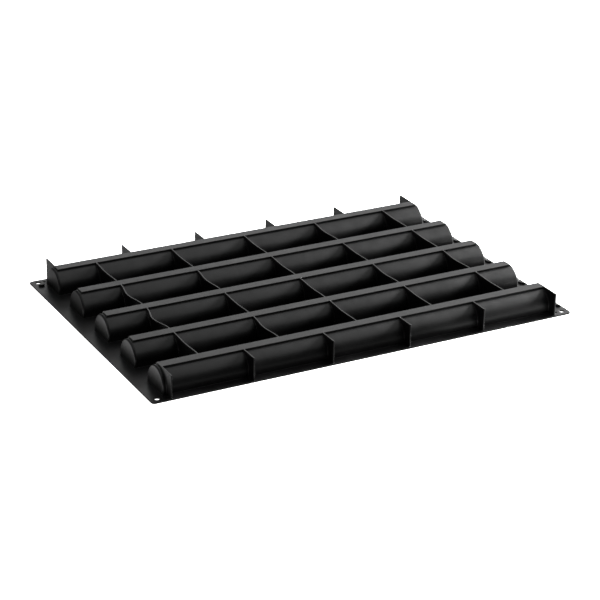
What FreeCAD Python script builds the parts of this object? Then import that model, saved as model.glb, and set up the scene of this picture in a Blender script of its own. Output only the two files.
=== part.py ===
import FreeCAD, Part
import math
import os

# Five-cavity baguette mould in silicone, as it lies upside down on its rim.
# Millimetres. +X runs along the troughs, +Y across them, +Z up.
# Origin: middle of the rim sheet, on the face that lies on the table.

# rim sheet
SHEET_LENGTH = 600.0
SHEET_WIDTH = 400.0
SHEET_THICKNESS = 2.0
SHEET_CORNER_RADIUS = 5.0
CORNER_HOLE_DIAMETER = 6.5
CORNER_HOLE_X = 290.0
CORNER_HOLE_Y = 191.0
VENT_HOLE_DIAMETER = 3.0
VENT_HOLE_X = 281.0
VENT_HOLE_Y = 191.0

# troughs: upright walls up to the axis height, and a half round above it
CAVITY_COUNT = 5
CAVITY_PITCH = 81.6
SHELL_RADIUS = 22.8
AXIS_HEIGHT = 7.7
WALL_THICKNESS = 2.0
SHELL_HALF_LENGTH = 280.4
END_DRAFT_DEGREES = 3.0
END_EDGE_RADIUS = 2.5
END_INNER_RADIUS = 1.5
CAP_START = 275.1
BASE_FILLET = 1.0
FORM_MARGIN = 6.0

# foot strips along the crown of each trough
OVERALL_HEIGHT = 32.0
STRIP_WIDTH = 14.2
STRIP_HALF_LENGTH = 275.1
STRIP_EDGE_RADIUS = 0.6
STRIP_BLANK_FOOT = 22.0

# stiffening webs
WEB_THICKNESS = 2.0
INNER_WEBS_PER_GAP = 5
OUTER_WEBS_PER_SIDE = 6
OUTER_WEB_TIP_Y = 198.2
WEB_EDGE_RADIUS = 0.5

# half-moon lips on the margin
LIP_OUTER_RADIUS = 8.0
LIP_WIDTH = 1.6
LIP_HEIGHT = 2.6
LIP_CROWN_RADIUS = 0.5
LIP_X = 298.4
LIP_OFFSET_Y = -7.5
LIP_ANGLES = (110.0, 260.0)
CORNER_LIP_RADIUS = 4.0
CORNER_LIP_X = -289.0
CORNER_LIP_Y = 181.0
CORNER_LIP_ANGLES = (170.0, 370.0)

# room left round the cutting tools, and how close two heights are that count as the same
CLEARANCE = 1.0
SAME_HEIGHT = 0.01

X_AXIS = FreeCAD.Vector(1, 0, 0)
Y_AXIS = FreeCAD.Vector(0, 1, 0)
Z_AXIS = FreeCAD.Vector(0, 0, 1)


def box(x0, x1, y0, y1, z0, z1):
    """A block between two corners."""
    corner = FreeCAD.Vector(x0, y0, z0)
    return Part.makeBox(x1 - x0, y1 - y0, z1 - z0, corner)


def export(shape, name):
    """Write one clean solid to its STEP file."""
    solid = shape.removeSplitter()
    solids = solid.Solids
    if len(solids) != 1:
        raise ValueError(name + " has " + str(len(solids)) + " solids")
    solids[0].exportStep("parts/" + name + ".step")


def row_centres():
    """The Y of each trough, back row first."""
    first = CAVITY_PITCH * (CAVITY_COUNT - 1) / 2.0
    return [first - CAVITY_PITCH * row for row in range(CAVITY_COUNT)]


def round_topped(radius, half_length, edge_radius):
    """A round-topped bar on the sheet, its ends leaning in and rounded over."""
    corners = [(-radius, SHEET_THICKNESS), (-radius, AXIS_HEIGHT), (0, AXIS_HEIGHT + radius),
               (radius, AXIS_HEIGHT), (radius, SHEET_THICKNESS)]
    foot, spring, crown, far_spring, far_foot = [
        FreeCAD.Vector(-half_length, y, z) for y, z in corners]
    outline = Part.Wire([
        Part.LineSegment(foot, spring).toShape(),
        Part.Arc(spring, crown, far_spring).toShape(),
        Part.LineSegment(far_spring, far_foot).toShape(),
        Part.LineSegment(far_foot, foot).toShape(),
    ])
    bar = Part.Face(outline).extrude(FreeCAD.Vector(2.0 * half_length, 0, 0))
    for side in (-1.0, 1.0):
        wedge = box(0, radius, -2 * radius, 2 * radius, -radius, 3 * radius)
        if side < 0:
            wedge.translate(FreeCAD.Vector(-radius, 0, 0))
        wedge.rotate(FreeCAD.Vector(0, 0, 0), Y_AXIS, -side * END_DRAFT_DEGREES)
        wedge.translate(FreeCAD.Vector(side * half_length, 0, SHEET_THICKNESS))
        bar = bar.cut(wedge)
    rims = []
    lean = radius * math.tan(math.radians(2 * END_DRAFT_DEGREES))
    for edge in bar.Edges:
        bounds = edge.BoundBox
        at_end = abs(bounds.Center.x) > half_length - lean
        across = bounds.XLength < lean
        if at_end and across and bounds.ZLength > CLEARANCE:
            rims.append(edge)
    return bar.makeFillet(edge_radius, rims)


def trough_outside():
    """The solid outside form of one trough, with the fillet at its foot."""
    bar = round_topped(SHELL_RADIUS, SHELL_HALF_LENGTH, END_EDGE_RADIUS)
    reach = SHELL_RADIUS + FORM_MARGIN
    slab = box(-SHEET_LENGTH / 2, SHEET_LENGTH / 2, -reach, reach, 0, SHEET_THICKNESS)
    joined = bar.fuse(slab).removeSplitter()
    foot = []
    for edge in joined.Edges:
        bounds = edge.BoundBox
        level = abs(bounds.ZMin - SHEET_THICKNESS) + bounds.ZLength < SAME_HEIGHT
        within_y = max(abs(bounds.YMin), abs(bounds.YMax)) < reach - CLEARANCE
        within_x = max(abs(bounds.XMin), abs(bounds.XMax)) < SHEET_LENGTH / 2 - CLEARANCE
        if level and within_x and within_y:
            foot.append(edge)
    return joined.makeFillet(BASE_FILLET, foot).cut(slab)


def trough_inside():
    """The space a loaf fills, down through the sheet."""
    radius = SHELL_RADIUS - WALL_THICKNESS
    half_length = SHELL_HALF_LENGTH - WALL_THICKNESS
    space = round_topped(radius, half_length, END_INNER_RADIUS)
    mouth = box(-half_length, half_length, -radius, radius, -CLEARANCE, SHEET_THICKNESS)
    upright = [edge for edge in mouth.Edges if edge.BoundBox.ZLength > CLEARANCE]
    return space, mouth.makeFillet(END_INNER_RADIUS, upright)


def rim_sheet(mouth):
    """The flat sheet with its five mouths and its holes."""
    half_x = SHEET_LENGTH / 2
    half_y = SHEET_WIDTH / 2
    sheet = box(-half_x, half_x, -half_y, half_y, 0, SHEET_THICKNESS)
    upright = [edge for edge in sheet.Edges if edge.BoundBox.ZLength > CLEARANCE]
    sheet = sheet.makeFillet(SHEET_CORNER_RADIUS, upright)
    for row_y in row_centres():
        opening = mouth.copy()
        opening.translate(FreeCAD.Vector(0, row_y, 0))
        sheet = sheet.cut(opening)
    holes = []
    for side_x in (-1, 1):
        for side_y in (-1, 1):
            place = (side_x * CORNER_HOLE_X, side_y * CORNER_HOLE_Y)
            holes.append((place, CORNER_HOLE_DIAMETER))
        vent = (side_x * VENT_HOLE_X, -side_x * VENT_HOLE_Y)
        holes.append((vent, VENT_HOLE_DIAMETER))
    for place, diameter in holes:
        start = FreeCAD.Vector(place[0], place[1], -CLEARANCE)
        drill = Part.makeCylinder(diameter / 2, SHEET_THICKNESS + 2 * CLEARANCE, start)
        sheet = sheet.cut(drill)
    return sheet


def foot_strip(outside, row_y):
    """The flat-topped bar along the crown of a trough."""
    half_width = STRIP_WIDTH / 2
    strip = box(-STRIP_HALF_LENGTH, STRIP_HALF_LENGTH, row_y - half_width,
                row_y + half_width, STRIP_BLANK_FOOT, OVERALL_HEIGHT)
    top_edges = []
    for edge in strip.Edges:
        if edge.BoundBox.ZMin > OVERALL_HEIGHT - SAME_HEIGHT:
            top_edges.append(edge)
    strip = strip.makeFillet(STRIP_EDGE_RADIUS, top_edges)
    return strip.cut(outside)


def web(centre_x, y0, y1, neighbours):
    """A thin upright plate between y0 and y1, cut to the troughs beside it."""
    half = WEB_THICKNESS / 2
    plate = box(centre_x - half, centre_x + half, y0, y1, SHEET_THICKNESS, OVERALL_HEIGHT)
    top_edges = []
    for edge in plate.Edges:
        bounds = edge.BoundBox
        if bounds.ZMin > OVERALL_HEIGHT - SAME_HEIGHT and bounds.YLength > WEB_THICKNESS + CLEARANCE:
            top_edges.append(edge)
    plate = plate.makeFillet(WEB_EDGE_RADIUS, top_edges)
    for solid in neighbours:
        plate = plate.cut(solid)
    return plate


def half_moon(centre_x, centre_y, radius, angles):
    """A low curved lip standing on the sheet, from the first angle to the last."""
    start = FreeCAD.Vector(centre_x, centre_y, SHEET_THICKNESS)
    span = angles[1] - angles[0]
    outer = Part.makeCylinder(radius, LIP_HEIGHT, start, Z_AXIS, span)
    inner = Part.makeCylinder(radius - LIP_WIDTH, LIP_HEIGHT, start, Z_AXIS, span)
    lip = outer.cut(inner)
    lip.rotate(start, Z_AXIS, angles[0])
    crown = []
    for edge in lip.Edges:
        bounds = edge.BoundBox
        high = bounds.ZMin > SHEET_THICKNESS + LIP_HEIGHT - SAME_HEIGHT
        if high and edge.Length > LIP_WIDTH + CLEARANCE:
            crown.append(edge)
    return lip.makeFillet(LIP_CROWN_RADIUS, crown)


def main():
    os.makedirs("parts", exist_ok=True)
    outside = trough_outside()
    space, mouth = trough_inside()
    rows = row_centres()
    export(rim_sheet(mouth), "rim_sheet")

    forms = []
    for row, row_y in enumerate(rows, start=1):
        move = FreeCAD.Vector(0, row_y, 0)
        form = outside.copy()
        form.translate(move)
        forms.append(form)
        hollow = space.copy()
        hollow.translate(move)
        shell = form.cut(hollow)
        reach = SHELL_RADIUS + FORM_MARGIN
        middle = box(-CAP_START, CAP_START, row_y - reach, row_y + reach, 0, OVERALL_HEIGHT)
        export(shell.common(middle), "trough_%d_shell" % row)
        for side, name in ((-1, "left"), (1, "right")):
            ends = sorted((side * CAP_START, side * SHEET_LENGTH / 2))
            cut = box(ends[0], ends[1], row_y - reach, row_y + reach, 0, OVERALL_HEIGHT)
            export(shell.common(cut), "trough_%d_end_%s" % (row, name))
        export(foot_strip(form, row_y), "foot_strip_%d" % row)

    half_strip = STRIP_WIDTH / 2
    bay = 2.0 * STRIP_HALF_LENGTH / INNER_WEBS_PER_GAP
    for gap in range(CAVITY_COUNT - 1):
        for number in range(INNER_WEBS_PER_GAP):
            centre_x = -STRIP_HALF_LENGTH + bay * (number + 0.5)
            plate = web(centre_x, rows[gap + 1] + half_strip, rows[gap] - half_strip,
                        (forms[gap], forms[gap + 1]))
            export(plate, "inner_web_%d_%d" % (gap + 1, number + 1))

    end_web_x = STRIP_HALF_LENGTH - WEB_THICKNESS / 2
    step = 2.0 * end_web_x / (OUTER_WEBS_PER_SIDE - 1)
    for number in range(OUTER_WEBS_PER_SIDE):
        centre_x = -end_web_x + step * number
        back = web(centre_x, rows[0] + half_strip, OUTER_WEB_TIP_Y, (forms[0],))
        export(back, "outer_web_back_%d" % (number + 1))
        front = web(centre_x, -OUTER_WEB_TIP_Y, rows[-1] - half_strip, (forms[-1],))
        export(front, "outer_web_front_%d" % (number + 1))

    for row, row_y in enumerate(rows, start=1):
        lip = half_moon(LIP_X, row_y + LIP_OFFSET_Y, LIP_OUTER_RADIUS, LIP_ANGLES)
        export(lip, "margin_lip_%d" % row)
    lip = half_moon(CORNER_LIP_X, CORNER_LIP_Y, CORNER_LIP_RADIUS, CORNER_LIP_ANGLES)
    export(lip, "margin_lip_corner")


main()
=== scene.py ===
import math

import bmesh
import bpy
from mathutils import Matrix, Vector


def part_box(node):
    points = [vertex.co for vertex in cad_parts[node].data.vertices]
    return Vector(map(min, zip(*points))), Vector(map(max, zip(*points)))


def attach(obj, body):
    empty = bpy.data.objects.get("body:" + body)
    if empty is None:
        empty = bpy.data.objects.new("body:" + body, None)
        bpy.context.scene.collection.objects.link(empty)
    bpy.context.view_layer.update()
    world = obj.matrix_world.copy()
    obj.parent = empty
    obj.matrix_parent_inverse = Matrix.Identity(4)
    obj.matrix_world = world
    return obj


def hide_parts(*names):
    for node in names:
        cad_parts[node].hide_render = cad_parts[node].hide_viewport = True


# Black silicone baguette mould lying upside down on a white table.
# Metres, in the frame's own axes: +X along the troughs, +Y across them, +Z up.

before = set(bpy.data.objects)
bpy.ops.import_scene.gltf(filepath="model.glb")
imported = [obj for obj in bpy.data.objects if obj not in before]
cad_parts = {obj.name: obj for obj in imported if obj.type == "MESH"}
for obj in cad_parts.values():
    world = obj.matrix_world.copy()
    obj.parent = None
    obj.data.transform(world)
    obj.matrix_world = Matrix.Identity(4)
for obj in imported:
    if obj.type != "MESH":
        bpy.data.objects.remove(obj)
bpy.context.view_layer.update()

MM = 0.001
ROWS = 5
GAPS = ROWS - 1
INNER_WEBS = 5
OUTER_WEBS = 6

# sizes read from the frame; the CAD troughs flare out at the foot by the two flares
sheet_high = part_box("rim_sheet")[1]
strip_low, strip_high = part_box("foot_strip_1")
shell_low, shell_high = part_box("trough_1_shell")
left_end_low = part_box("trough_1_end_left")[0]
web_low, web_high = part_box("inner_web_1_1")
tip_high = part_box("outer_web_back_1")[1]
SHEET_TOP = sheet_high.z
STRIP_TOP = strip_high.z
STRIP_HALF_WIDTH = (strip_high.y - strip_low.y) / 2
STRIP_HALF_LENGTH = strip_high.x
SIDE_FLARE = 1.0 * MM
END_FLARE = 0.95 * MM
SHELL_RADIUS = (shell_high.y - shell_low.y) / 2 - SIDE_FLARE
AXIS_Z = shell_high.z - SHELL_RADIUS
UPRIGHT = AXIS_Z - SHEET_TOP
WEB_HALF = (web_high.x - web_low.x) / 2
WEB_TIP_Y = tip_high.y

# mould details
WALL = 2.0 * MM
END_DRAFT = math.radians(3.0)
END_HALF_LENGTH = -left_end_low.x - END_FLARE
END_EDGE = 2.5 * MM
CAVITY_EDGE = 1.5 * MM
SHEET_CORNER = 5.0 * MM
SHEET_EDGE = 0.6 * MM
CORNER_HOLE = (290.0 * MM, 191.0 * MM, 3.25 * MM)
VENT_HOLE = (281.0 * MM, 191.0 * MM, 1.5 * MM)
FOOT_FILLET = 0.3 * MM
STRIP_EDGE = 0.5 * MM
STRIP_FILLET = 0.12 * MM
STRIP_UNDERCUT = 0.4 * MM
WEB_EDGE = 0.35 * MM
WEB_TIP_EDGE = 0.9 * MM
WEB_FILLET = 0.3 * MM
WALL_FILLET = 1.2 * MM
SUNK = 0.3 * MM
STRIP_BED = 1.0 * MM
LIP_WIDTH = 1.6 * MM
LIP_SKIRT = 0.4 * MM
LIP_TOE = 0.1 * MM
LIP_TOE_HEIGHT = 0.2 * MM
LIP_END_SIZE = 0.3

# lips: place (a margin lip's is from its row's centre line), radius, first and last angle
MARGIN_LIP = (298.4 * MM, -7.5 * MM, 8.0 * MM, (110.0, 260.0))
CORNER_LIP = (-289.0 * MM, 181.0 * MM, 4.0 * MM, (170.0, 370.0))

# how finely the meshes are divided
SHARP_ANGLE = math.radians(40.0)
MERGE_DISTANCE = 1e-6
SLIVER = 1e-7
SHEET_CORNER_STEPS = 8
MOUTH_CORNER_STEPS = 4
SHEET_EDGE_STEPS = 2
CORNER_HOLE_POINTS = 24
VENT_HOLE_POINTS = 16
FOOT_SHARES = (0.0, 0.03, 0.12, 0.28, 0.5, 0.75)
UPRIGHT_STEPS = 5
CROWN_STEPS = 56
LENGTH_STEPS = 48
END_EDGE_STEPS = 8
END_FACE_STEPS = 14
STRIP_EDGE_STEPS = 5
STRIP_FOOT_STEPS = 4
STRIP_END_STEPS = 4
WEB_UPRIGHT_STEPS = 3
WEB_SHOULDER_STEPS = 14
WEB_STRIP_STEPS = 3
WEB_EDGE_STEPS = 5
INNER_WEB_STEPS = 22
OUTER_WEB_STEPS = 10
WEB_TIP_STEPS = 8
NEAR_WALL = [0.0, 0.12 * MM, 0.35 * MM, 0.7 * MM, 1.2 * MM]
LIP_STEPS = 40
LIP_FADE_STEPS = 3
LIP_TOP_STEPS = 8

# how far the thin webs have bowed towards -X at the middle of their top edge,
# and those that have bowed further, by gap and number
WEB_BOW = 1.4 * MM
BOWED_WEBS = {
    (1, 4): 3.0 * MM,
    (2, 1): 5.1 * MM,
    (2, 2): 3.5 * MM,
    (3, 1): 6.5 * MM,
    (3, 4): 2.7 * MM,
    (3, 5): 2.8 * MM,
    (4, 2): 3.3 * MM,
}

# camera
CAMERA_LENS = 122.9
CAMERA_AZIMUTH = math.radians(-28.582)
CAMERA_ELEVATION = math.radians(23.912)
CAMERA_ROLL = math.radians(1.141)
CAMERA_DISTANCE = 2.7017
CAMERA_TARGET = Vector((0.0007, -0.0066, 0.0))
SENSOR_WIDTH = 36.0
CLIP_START = 0.05
CLIP_END = 50.0

# silicone: base colour and roughness vary with the mottle, the grain is a bump
REFRACTION = 1.45
MOTTLE_SCALE = 45.0
DARK_BASE = (0.001, 0.001, 0.0011, 1.0)
LIGHT_BASE = (0.0026, 0.0026, 0.0028, 1.0)
SMOOTHEST = 0.34
ROUGHEST = 0.42
GRAIN_SCALE = 1400.0
GRAIN_STRENGTH = 0.35
GRAIN_DEPTH = 0.02 * MM

# table and light
FLOOR_HALF = 6.0
WHITE = (1.0, 1.0, 1.0, 1.0)
TABLE_WHITE = (0.9, 0.9, 0.9, 1.0)
HORIZON_BLEND = 0.1
GROUND_DARK_FROM = -0.8
GROUND_LIGHT_FROM = -0.3
SKY_LIGHT = 0.05
GROUND_LIGHT = 0.5
FRONT_GROUND_LIGHT = 0.02
EXPOSURE = 0.5
GAMMA = 0.87

# soft boxes, and cards that lie on the table facing up: place, the way they face,
# width and height, brightness
SOFT_BOXES = {
    "key": (Vector((2.95, 0.52, 1.15)), Vector((-2.95, -0.52, -1.15)), (1.05, 0.9), 78.0),
    "side": (Vector((1.2, -0.3, 0.45)), Vector((-1.0, 0.0, 0.0)), (0.6, 0.3), 30.0),
    "back": (Vector((1.7, 2.4, 1.1)), Vector((-1.7, -2.4, -1.1)), (3.4, 1.0), 1.3),
    "ceiling_right": (Vector((0.7, 0.0, 0.9)), Vector((0.0, 0.0, -1.0)), (1.4, 2.8), 0.74),
    "ceiling_back": (Vector((0.0, 0.7, 0.9)), Vector((0.0, 0.0, -1.0)), (2.8, 1.4), 0.39),
    "ceiling_left": (Vector((-0.75, 0.2, 0.9)), Vector((0.0, 0.0, -1.0)), (0.8, 1.4), 0.9),
    "card_front": (Vector((0.4, -0.32, 0.001)), Vector((0.0, 0.0, 1.0)), (0.55, 0.238), 0.75),
    "card_edge": (Vector((0.05, -0.236, 0.001)), Vector((0.0, 0.0, 1.0)), (1.0, 0.06), 0.35),
    "card_right": (Vector((0.62, 0.0, 0.001)), Vector((0.0, 0.0, 1.0)), (0.6, 0.9), 2.2),
    "front_right": (Vector((0.9, -0.75, 0.15)), Vector((0.0, 1.0, 0.0)), (0.7, 0.3), 0.9),
    "card_left": (Vector((-0.502, -0.14, 0.001)), Vector((0.0, 0.0, 1.0)), (0.4, 0.42), 0.9),
}


def row_y(row):
    """The centre line of a trough."""
    low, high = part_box("foot_strip_%d" % row)
    return (low.y + high.y) / 2


def add_piece(name, vertices, faces, material, nodes):
    """A closed mesh that rides on the body and stands for some CAD nodes."""
    mesh = bpy.data.meshes.new(name)
    mesh.from_pydata(vertices, [], faces)
    work = bmesh.new()
    work.from_mesh(mesh)
    bmesh.ops.remove_doubles(work, verts=work.verts, dist=MERGE_DISTANCE)
    bmesh.ops.dissolve_degenerate(work, edges=work.edges, dist=SLIVER)
    bmesh.ops.recalc_face_normals(work, faces=work.faces)
    work.to_mesh(mesh)
    work.free()
    place_piece(name, mesh, material, nodes)


def place_piece(name, mesh, material, nodes):
    """Shade a mesh, link it and tie it to the frame."""
    mesh.shade_smooth()
    mesh.set_sharp_from_angle(angle=SHARP_ANGLE)
    mesh.materials.append(material)
    piece = bpy.data.objects.new(name, mesh)
    bpy.context.scene.collection.objects.link(piece)
    weighted = piece.modifiers.new("face weighted normals", "WEIGHTED_NORMAL")
    weighted.keep_sharp = True
    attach(piece, "root")
    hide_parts(*nodes)


def grid_solid(front, back, open_last=False):
    """Vertices and faces of a closed solid between two matching grids of points.

    With open_last, the two grids aren't joined along their last rows, which close on themselves.
    """
    rows, columns = len(front), len(front[0])
    vertices = [point for line in front for point in line]
    vertices += [point for line in back for point in line]
    offset = rows * columns
    faces = []
    for i in range(rows - 1):
        for j in range(columns - 1):
            a = i * columns + j
            quad = (a, a + 1, a + columns + 1, a + columns)
            faces.append(quad)
            faces.append(tuple(offset + corner for corner in reversed(quad)))
    last = (rows - 1) * columns
    left = [i * columns for i in range(rows - 1, -1, -1)]
    right = [i * columns + columns - 1 for i in range(rows)]
    sides = [left, list(range(columns)), right]
    if not open_last:
        sides.append(list(range(last + columns - 1, last - 1, -1)))
    for side in sides:
        for here, there in zip(side, side[1:]):
            faces.append((there, here, offset + here, offset + there))
    return vertices, faces


def loft(sections):
    """Vertices and faces of a closed solid through matching closed sections."""
    count = len(sections[0])
    vertices = [point for section in sections for point in section]
    faces = []
    for i in range(len(sections) - 1):
        for j in range(count):
            k = (j + 1) % count
            faces.append((i * count + j, i * count + k, (i + 1) * count + k, (i + 1) * count + j))
    faces.append(tuple(reversed(range(count))))
    faces.append(tuple(range((len(sections) - 1) * count, len(sections) * count)))
    return vertices, faces


def spread(first, last, steps):
    """Evenly spaced values from first to last."""
    return [first + (last - first) * step / steps for step in range(steps + 1)]


def quarter_round(distance, radius):
    """What a fillet adds, or a rounded edge takes away, at a distance from the corner."""
    if distance >= radius:
        return 0.0
    near = radius - max(distance, 0.0)
    return radius - math.sqrt(radius * radius - near * near)


# ---------------------------------------------------------------- materials

def silicone_material():
    """Satin black silicone with the soft mottling and fine grain of a moulding."""
    material = bpy.data.materials.new("black silicone")
    material.use_nodes = True
    tree = material.node_tree
    nodes, links = tree.nodes, tree.links
    shader = nodes["Principled BSDF"]
    shader.inputs["IOR"].default_value = REFRACTION
    place = nodes.new("ShaderNodeTexCoord")

    mottle = nodes.new("ShaderNodeTexNoise")
    mottle.inputs["Scale"].default_value = MOTTLE_SCALE
    mottle.inputs["Detail"].default_value = 5.0
    mottle.inputs["Roughness"].default_value = 0.6
    links.new(place.outputs["Object"], mottle.inputs["Vector"])

    colour = nodes.new("ShaderNodeValToRGB")
    colour.color_ramp.elements[0].position = 0.3
    colour.color_ramp.elements[0].color = DARK_BASE
    colour.color_ramp.elements[1].position = 0.75
    colour.color_ramp.elements[1].color = LIGHT_BASE
    links.new(mottle.outputs["Fac"], colour.inputs["Fac"])
    links.new(colour.outputs["Color"], shader.inputs["Base Color"])

    gloss = nodes.new("ShaderNodeMapRange")
    gloss.inputs["From Min"].default_value = 0.3
    gloss.inputs["From Max"].default_value = 0.7
    gloss.inputs["To Min"].default_value = SMOOTHEST
    gloss.inputs["To Max"].default_value = ROUGHEST
    links.new(mottle.outputs["Fac"], gloss.inputs["Value"])
    links.new(gloss.outputs["Result"], shader.inputs["Roughness"])

    grain = nodes.new("ShaderNodeTexNoise")
    grain.inputs["Scale"].default_value = GRAIN_SCALE
    grain.inputs["Detail"].default_value = 3.0
    links.new(place.outputs["Object"], grain.inputs["Vector"])
    bump = nodes.new("ShaderNodeBump")
    bump.inputs["Strength"].default_value = GRAIN_STRENGTH
    bump.inputs["Distance"].default_value = GRAIN_DEPTH
    links.new(grain.outputs["Fac"], bump.inputs["Height"])
    links.new(bump.outputs["Normal"], shader.inputs["Normal"])
    return material


def table_material():
    """A white table top that shines a little by itself, so that it shows no shadow."""
    material = bpy.data.materials.new("white table")
    material.use_nodes = True
    shader = material.node_tree.nodes["Principled BSDF"]
    shader.inputs["Base Color"].default_value = TABLE_WHITE
    shader.inputs["Roughness"].default_value = 0.9
    shader.inputs["Specular IOR Level"].default_value = 0.0
    shader.inputs["Emission Color"].default_value = WHITE
    shader.inputs["Emission Strength"].default_value = 1.0
    return material


# ---------------------------------------------------------------- rim sheet

def arc_points(centre_x, centre_y, radius, first, last, steps):
    """Points on an arc, angles in degrees."""
    points = []
    for angle in spread(math.radians(first), math.radians(last), steps):
        points.append((centre_x + radius * math.cos(angle), centre_y + radius * math.sin(angle)))
    return points


def circle(centre_x, centre_y, radius, count):
    """Points all round a circle, the last one a step short of the first."""
    return arc_points(centre_x, centre_y, radius, 0, 360 * (count - 1) / count, count - 1)


def rounded_rectangle(centre_y, half_x, half_y, radius, steps):
    """A rectangle on the sheet's middle line, with rounded corners."""
    points = []
    corners = ((1, 1, 0), (-1, 1, 90), (-1, -1, 180), (1, -1, 270))
    for side_x, side_y, first in corners:
        points += arc_points(side_x * (half_x - radius), centre_y + side_y * (half_y - radius),
                             radius, first, first + 90, steps)
    return points


def sheet_outlines():
    """The sheet's edge, the five mouths and the six holes, drawn in by the edge rounding."""
    edge = SHEET_EDGE
    outlines = [rounded_rectangle(0.0, sheet_high.x - edge, sheet_high.y - edge,
                                  SHEET_CORNER - edge, SHEET_CORNER_STEPS)]
    cavity = SHELL_RADIUS - WALL + edge
    half_x = END_HALF_LENGTH - WALL + edge
    for row in range(1, ROWS + 1):
        outlines.append(rounded_rectangle(row_y(row), half_x, cavity, CAVITY_EDGE + edge,
                                          MOUTH_CORNER_STEPS))
    for side_x in (-1, 1):
        for side_y in (-1, 1):
            x, y, radius = CORNER_HOLE
            outlines.append(circle(side_x * x, side_y * y, radius + edge, CORNER_HOLE_POINTS))
        x, y, radius = VENT_HOLE
        outlines.append(circle(side_x * x, -side_x * y, radius + edge, VENT_HOLE_POINTS))
    return outlines


def rim_sheet(material):
    """The flat sheet, its edges and mouths softly rounded."""
    curve = bpy.data.curves.new("sheet outline", "CURVE")
    curve.dimensions = "2D"
    curve.fill_mode = "BOTH"
    curve.extrude = SHEET_TOP / 2 - SHEET_EDGE
    curve.bevel_depth = SHEET_EDGE
    curve.bevel_resolution = SHEET_EDGE_STEPS
    for outline in sheet_outlines():
        spline = curve.splines.new("POLY")
        spline.points.add(len(outline) - 1)
        for point, (x, y) in zip(spline.points, outline):
            point.co = (x, y, 0.0, 1.0)
        spline.use_cyclic_u = True
    drawing = bpy.data.objects.new("sheet outline", curve)
    mesh = bpy.data.meshes.new_from_object(drawing)
    bpy.data.objects.remove(drawing)
    mesh.transform(Matrix.Translation((0.0, 0.0, SHEET_TOP / 2)))
    work = bmesh.new()
    work.from_mesh(mesh)
    bmesh.ops.remove_doubles(work, verts=work.verts, dist=MERGE_DISTANCE)
    bmesh.ops.recalc_face_normals(work, faces=work.faces)
    work.to_mesh(mesh)
    work.free()
    place_piece("silicone_rim_sheet", mesh, material, ["rim_sheet"])


# ------------------------------------------------------------------ troughs

def trough_profile(radius):
    """Points (y, height) up one wall, over the round top and down the other wall."""
    foot = [FOOT_FILLET * share for share in FOOT_SHARES]
    wall = foot + spread(FOOT_FILLET, UPRIGHT, UPRIGHT_STEPS)
    points = [(radius, height) for height in wall]
    for angle in spread(0.0, math.pi, CROWN_STEPS)[1:-1]:
        points.append((radius * math.cos(angle), UPRIGHT + radius * math.sin(angle)))
    points += [(-radius, height) for height in reversed(wall)]
    return points


def trough_line(centre_y, radius, x_at, lean, flared):
    """Points round a trough at x_at(height); lean turns the fillet from sideways to endways."""
    line = []
    for y, height in trough_profile(radius):
        x = x_at(height)
        if flared:
            flare = quarter_round(height, FOOT_FILLET)
            y += math.copysign(flare, y) * math.cos(lean)
            x += math.copysign(flare, x) * math.sin(lean)
        line.append((x, centre_y + y, SHEET_TOP + height))
    return line


def trough_shell(row, material):
    """The round-topped wall between the two ends."""
    centre_y = row_y(row)
    outside, inside = [], []
    for x in spread(shell_low.x, shell_high.x, LENGTH_STEPS):
        outside.append(trough_line(centre_y, SHELL_RADIUS, lambda height: x, 0.0, True))
        inside.append(trough_line(centre_y, SHELL_RADIUS - WALL, lambda height: x, 0.0, False))
    vertices, faces = grid_solid(outside, inside)
    add_piece("silicone_trough_%d" % row, vertices, faces, material, ["trough_%d_shell" % row])


def end_rings(centre_y, side, radius, half_length, edge, flared):
    """Rings along the tail of a trough, over its rounded edge and across the end face."""
    rings = [trough_line(centre_y, radius, lambda height: side * shell_high.x, 0.0, flared)]
    stations = [(edge * (1.0 - math.cos(turn)), edge * (math.sin(turn) - 1.0), turn)
                for turn in spread(0.0, math.pi / 2, END_EDGE_STEPS)]
    stations += [(inset, 0.0, math.pi / 2)
                 for inset in spread(edge, radius, END_FACE_STEPS)[1:]]
    for inset, back, turn in stations:
        def end_x(height):
            return side * (half_length - height * math.tan(END_DRAFT) + back)
        rings.append(trough_line(centre_y, radius - inset, end_x, turn, flared))
    return rings


def trough_end(row, side, name, material):
    """The closed end of a trough, leaning in a little, with a rounded edge."""
    centre_y = row_y(row)
    outside = end_rings(centre_y, side, SHELL_RADIUS, END_HALF_LENGTH, END_EDGE, True)
    inside = end_rings(centre_y, side, SHELL_RADIUS - WALL, END_HALF_LENGTH - WALL,
                       CAVITY_EDGE, False)
    vertices, faces = grid_solid(outside, inside, open_last=True)
    add_piece("silicone_end_%d_%s" % (row, name), vertices, faces, material,
              ["trough_%d_end_%s" % (row, name)])


# ------------------------------------------------------------------- strips

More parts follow.
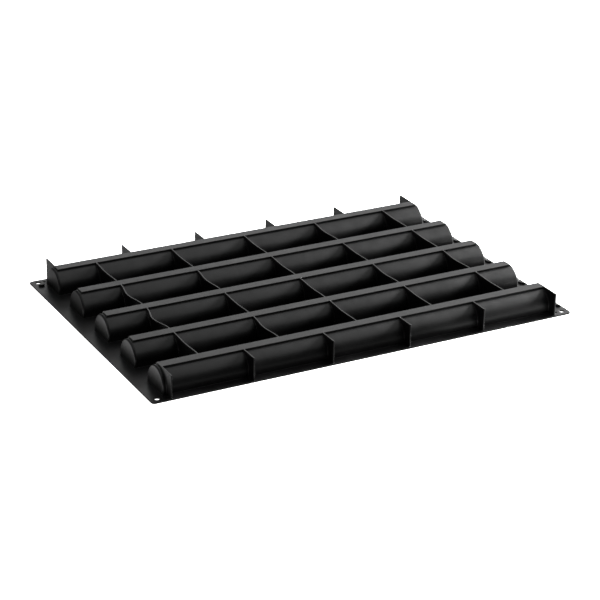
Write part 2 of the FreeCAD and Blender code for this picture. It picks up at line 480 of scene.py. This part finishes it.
def strip_section(x, inset):
    """The closed outline of a foot strip, narrower at its foot, with a small fillet there."""
    half = STRIP_HALF_WIDTH - inset
    top = STRIP_TOP - inset
    points = []
    for turn in spread(0.0, math.pi / 2, STRIP_EDGE_STEPS):
        points.append((half - STRIP_EDGE * (1 - math.sin(turn)),
                       top - STRIP_EDGE * (1 - math.cos(turn))))
    centre_y = half - STRIP_UNDERCUT + STRIP_FILLET
    reach = SHELL_RADIUS + STRIP_FILLET
    centre_z = AXIS_Z + math.sqrt(reach * reach - centre_y * centre_y)
    last = math.atan2(centre_z - AXIS_Z, centre_y)
    for turn in spread(0.0, last, STRIP_FOOT_STEPS):
        points.append((centre_y - STRIP_FILLET * math.cos(turn),
                       centre_z - STRIP_FILLET * math.sin(turn)))
    radius = SHELL_RADIUS - SUNK
    foot = math.acos(points[-1][0] / SHELL_RADIUS)
    for angle in spread(foot, math.pi / 2, STRIP_FOOT_STEPS)[:-1]:
        points.append((radius * math.cos(angle), AXIS_Z + radius * math.sin(angle)))
    mirrored = [(-y, z) for y, z in reversed(points)]
    crown = [(0.0, AXIS_Z + radius)]
    top_middle = [(0.0, top)]
    return [(x, y, z) for y, z in top_middle + points + crown + mirrored]


def foot_strip(row, material):
    """The flat-topped bar along the crown of a trough."""
    centre_y = row_y(row)
    sections = []
    ends = [(STRIP_EDGE * (1 - math.cos(turn)), STRIP_EDGE * (1 - math.sin(turn)))
            for turn in spread(0.0, math.pi / 2, STRIP_END_STEPS)]
    for back, inset in ends:
        sections.append(strip_section(-STRIP_HALF_LENGTH + back, inset))
    for x in spread(-STRIP_HALF_LENGTH, STRIP_HALF_LENGTH, LENGTH_STEPS)[1:-1]:
        sections.append(strip_section(x, 0.0))
    for back, inset in reversed(ends):
        sections.append(strip_section(STRIP_HALF_LENGTH - back, inset))
    sections = [[(x, centre_y + y, z) for x, y, z in section] for section in sections]
    vertices, faces = loft(sections)
    add_piece("silicone_strip_%d" % row, vertices, faces, material, ["foot_strip_%d" % row])


# --------------------------------------------------------------------- webs

def web_heights():
    """Heights above the sheet for the rows of a web's mesh."""
    heights = [0.0, WEB_FILLET / 4] + spread(WEB_FILLET, UPRIGHT, WEB_UPRIGHT_STEPS)
    shoulder = math.acos(STRIP_HALF_WIDTH / SHELL_RADIUS)
    heights += [UPRIGHT + SHELL_RADIUS * math.sin(angle)
                for angle in spread(0.0, shoulder, WEB_SHOULDER_STEPS)[1:]]
    full = STRIP_TOP - SHEET_TOP
    heights += spread(heights[-1], full - WEB_EDGE, WEB_STRIP_STEPS)[1:]
    heights += [full - WEB_EDGE * (1 - math.sin(turn))
                for turn in spread(0.0, math.pi / 2, WEB_EDGE_STEPS)[1:]]
    return heights


def wall_reach(height):
    """Distance from a trough's centre line to its wall or strip at a height."""
    above = max(height - UPRIGHT, 0.0)
    if above >= SHELL_RADIUS:
        return STRIP_HALF_WIDTH
    return max(STRIP_HALF_WIDTH, math.sqrt(SHELL_RADIUS * SHELL_RADIUS - above * above))


def wall_distance(offset, height):
    """Distance of a point from the trough beside it, offset being from its centre line."""
    from_wall = math.hypot(offset, max(height - UPRIGHT, 0.0)) - SHELL_RADIUS
    if height > UPRIGHT + SHELL_RADIUS - STRIP_BED:
        return min(from_wall, offset - STRIP_HALF_WIDTH)
    return from_wall


def root_fillet(height):
    """The fillet between a web and a trough, fading out up to the strip."""
    above = max(height - UPRIGHT, 0.0) / (STRIP_TOP - SHEET_TOP - UPRIGHT)
    return WALL_FILLET + (WEB_FILLET - WALL_FILLET) * above


def inner_web(gap, number, material):
    """A thin plate between two troughs, its top edge bowed sideways."""
    name = "inner_web_%d_%d" % (gap, number)
    low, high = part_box(name)
    centre_x = (low.x + high.x) / 2
    front, back = row_y(gap + 1), row_y(gap)
    bow = BOWED_WEBS.get((gap, number), WEB_BOW)
    first, last = front + STRIP_HALF_WIDTH, back - STRIP_HALF_WIDTH
    full = STRIP_TOP - SHEET_TOP
    near, far = [], []
    for height in web_heights():
        reach = wall_reach(height)
        start, stop = front + reach, back - reach
        ys = [start - SUNK] + [start + step for step in NEAR_WALL]
        ys += spread(start + NEAR_WALL[-1], stop - NEAR_WALL[-1],
                     INNER_WEB_STEPS)[1:-1]
        ys += [stop - step for step in reversed(NEAR_WALL)] + [stop + SUNK]
        line_near, line_far = [], []
        for y in ys:
            share = min(max((y - first) / (last - first), 0.0), 1.0)
            lean = -bow * (1 - math.cos(2 * math.pi * share)) / 2 * (height / full) ** 2
            root = root_fillet(height)
            flare = max(quarter_round(wall_distance(y - front, height), root),
                        quarter_round(wall_distance(back - y, height), root),
                        quarter_round(height, WEB_FILLET))
            half = WEB_HALF + flare - quarter_round(full - height, WEB_EDGE)
            line_near.append((centre_x + lean - half, y, SHEET_TOP + height))
            line_far.append((centre_x + lean + half, y, SHEET_TOP + height))
        near.append(line_near)
        far.append(line_far)
    vertices, faces = grid_solid(near, far)
    add_piece("silicone_" + name, vertices, faces, material, [name])


def outer_web(side, number, material):
    """A thin plate from an outer trough to the sheet's edge, free at its tip."""
    place = "back" if side > 0 else "front"
    name = "outer_web_%s_%d" % (place, number)
    low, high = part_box(name)
    centre_x = (low.x + high.x) / 2
    row = 1 if side > 0 else ROWS
    centre_y = abs(row_y(row))
    full = STRIP_TOP - SHEET_TOP
    near, far = [], []
    for height in web_heights():
        start = centre_y + wall_reach(height)
        tip = WEB_TIP_Y - quarter_round(full - height, WEB_EDGE)
        ys = [start - SUNK] + [start + step for step in NEAR_WALL]
        ys += spread(start + NEAR_WALL[-1], tip - WEB_TIP_EDGE, OUTER_WEB_STEPS)[1:]
        ys += [tip - WEB_TIP_EDGE * (1 - math.sin(turn))
               for turn in spread(0.0, math.pi / 2, WEB_TIP_STEPS)[1:]]
        line_near, line_far = [], []
        for y in ys:
            flare = max(quarter_round(wall_distance(y - centre_y, height), root_fillet(height)),
                        quarter_round(height, WEB_FILLET))
            edge = max(quarter_round(full - height, WEB_EDGE),
                       quarter_round(tip - y, WEB_TIP_EDGE))
            half = WEB_HALF + flare - edge
            line_near.append((centre_x - half, side * y, SHEET_TOP + height))
            line_far.append((centre_x + half, side * y, SHEET_TOP + height))
        near.append(line_near)
        far.append(line_far)
    vertices, faces = grid_solid(near, far)
    add_piece("silicone_" + name, vertices, faces, material, [name])


# --------------------------------------------------------------------- lips

def lip(name, centre, radius, angles, material):
    """A low curved ridge with a rounded top, fading out at its two ends."""
    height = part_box(name)[1].z - SHEET_TOP
    half = LIP_WIDTH / 2
    middle = radius - half
    first, last = math.radians(angles[0]), math.radians(angles[1])
    sections = []
    for step, angle in enumerate(spread(first, last, LIP_STEPS)):
        share = min(step, LIP_STEPS - step) / LIP_FADE_STEPS
        size = math.sin(min(share, 1.0) * math.pi / 2) * (1.0 - LIP_END_SIZE) + LIP_END_SIZE
        outline = [(half + LIP_SKIRT, -SUNK), (half + LIP_TOE, LIP_TOE_HEIGHT)]
        for turn in spread(0.0, math.pi, LIP_TOP_STEPS):
            across = half * math.cos(turn)
            outline.append((across, height * size - half * (1 - math.sin(turn))))
        outline += [(-half - LIP_TOE, LIP_TOE_HEIGHT), (-half - LIP_SKIRT, -SUNK)]
        section = []
        for across, up in outline:
            r = middle + across
            section.append((centre[0] + r * math.cos(angle), centre[1] + r * math.sin(angle),
                            SHEET_TOP + up))
        sections.append(section)
    vertices, faces = loft(sections)
    add_piece("silicone_" + name, vertices, faces, material, [name])


def lips(material):
    """The half-moon lips on the right margin and the small one by the corner hole."""
    x, y, radius, angles = MARGIN_LIP
    for row in range(1, ROWS + 1):
        lip("margin_lip_%d" % row, (x, row_y(row) + y), radius, angles, material)
    x, y, radius, angles = CORNER_LIP
    lip("margin_lip_corner", (x, y), radius, angles, material)


# ---------------------------------------------------------- camera and stage

def add_camera():
    """The camera, aimed with a slight roll."""
    azimuth, elevation = CAMERA_AZIMUTH, CAMERA_ELEVATION
    forward = Vector((-math.sin(azimuth) * math.cos(elevation),
                      math.cos(azimuth) * math.cos(elevation), -math.sin(elevation)))
    level = forward.cross(Vector((0.0, 0.0, 1.0))).normalized()
    upright = level.cross(forward)
    right = level * math.cos(CAMERA_ROLL) + upright * math.sin(CAMERA_ROLL)
    up = upright * math.cos(CAMERA_ROLL) - level * math.sin(CAMERA_ROLL)
    data = bpy.data.cameras.new("camera")
    data.lens = CAMERA_LENS
    data.sensor_width = SENSOR_WIDTH
    data.clip_start = CLIP_START
    data.clip_end = CLIP_END
    camera = bpy.data.objects.new("camera", data)
    turn = Matrix((right, up, -forward)).transposed().to_4x4()
    camera.matrix_world = Matrix.Translation(CAMERA_TARGET - forward * CAMERA_DISTANCE) @ turn
    bpy.context.scene.collection.objects.link(camera)
    bpy.context.scene.camera = camera


def add_table():
    """A white table top that leaves the mould's own reflections to the studio's walls."""
    mesh = bpy.data.meshes.new("table_top")
    corners = [(-FLOOR_HALF, -FLOOR_HALF, 0.0), (FLOOR_HALF, -FLOOR_HALF, 0.0),
               (FLOOR_HALF, FLOOR_HALF, 0.0), (-FLOOR_HALF, FLOOR_HALF, 0.0)]
    mesh.from_pydata(corners, [], [(0, 1, 2, 3)])
    mesh.materials.append(table_material())
    table = bpy.data.objects.new("table_top", mesh)
    bpy.context.scene.collection.objects.link(table)
    table.visible_glossy = False
    table.visible_diffuse = False


def add_studio():
    """The room: white to look at; as light, dim above the horizon and brighter below it.

    Below the horizon it darkens towards the front.
    """
    world = bpy.data.worlds.new("studio")
    world.use_nodes = True
    nodes, links = world.node_tree.nodes, world.node_tree.links
    room = nodes["Background"]
    place = nodes.new("ShaderNodeTexCoord")
    split = nodes.new("ShaderNodeSeparateXYZ")
    links.new(place.outputs["Generated"], split.inputs["Vector"])
    level = nodes.new("ShaderNodeMapRange")
    level.inputs["From Min"].default_value = -HORIZON_BLEND
    level.inputs["From Max"].default_value = HORIZON_BLEND
    level.inputs["To Max"].default_value = SKY_LIGHT
    links.new(split.outputs["Z"], level.inputs["Value"])
    ground = nodes.new("ShaderNodeMapRange")
    ground.inputs["From Min"].default_value = GROUND_DARK_FROM
    ground.inputs["From Max"].default_value = GROUND_LIGHT_FROM
    ground.inputs["To Min"].default_value = FRONT_GROUND_LIGHT
    ground.inputs["To Max"].default_value = GROUND_LIGHT
    links.new(split.outputs["Y"], ground.inputs["Value"])
    links.new(ground.outputs["Result"], level.inputs["To Min"])
    links.new(level.outputs["Result"], room.inputs["Strength"])
    backdrop = nodes.new("ShaderNodeBackground")
    backdrop.inputs["Strength"].default_value = 1.0
    for background in (room, backdrop):
        background.inputs["Color"].default_value = WHITE
    rays = nodes.new("ShaderNodeLightPath")
    choice = nodes.new("ShaderNodeMixShader")
    links.new(rays.outputs["Is Camera Ray"], choice.inputs["Fac"])
    links.new(room.outputs["Background"], choice.inputs[1])
    links.new(backdrop.outputs["Background"], choice.inputs[2])
    links.new(choice.outputs["Shader"], nodes["World Output"].inputs["Surface"])
    bpy.context.scene.world = world
    tone = bpy.context.scene.view_settings
    tone.view_transform = "Standard"
    tone.exposure = EXPOSURE
    tone.gamma = GAMMA


def add_soft_boxes():
    """Rectangular soft boxes round and above the mould, and bright cards on the table."""
    for name, (place, facing, size, brightness) in SOFT_BOXES.items():
        lamp = bpy.data.lights.new(name, "AREA")
        lamp.shape = "RECTANGLE"
        lamp.size, lamp.size_y = size
        lamp.energy = brightness * math.pi * size[0] * size[1]
        box = bpy.data.objects.new(name, lamp)
        box.location = place
        box.rotation_euler = facing.to_track_quat("-Z", "Y").to_euler()
        box.visible_camera = False
        bpy.context.scene.collection.objects.link(box)


def main():
    silicone = silicone_material()
    rim_sheet(silicone)
    for row in range(1, ROWS + 1):
        trough_shell(row, silicone)
        trough_end(row, -1, "left", silicone)
        trough_end(row, 1, "right", silicone)
        foot_strip(row, silicone)
    for gap in range(1, GAPS + 1):
        for number in range(1, INNER_WEBS + 1):
            inner_web(gap, number, silicone)
    for number in range(1, OUTER_WEBS + 1):
        outer_web(1, number, silicone)
        outer_web(-1, number, silicone)
    lips(silicone)
    add_camera()
    add_table()
    add_studio()
    add_soft_boxes()


main()
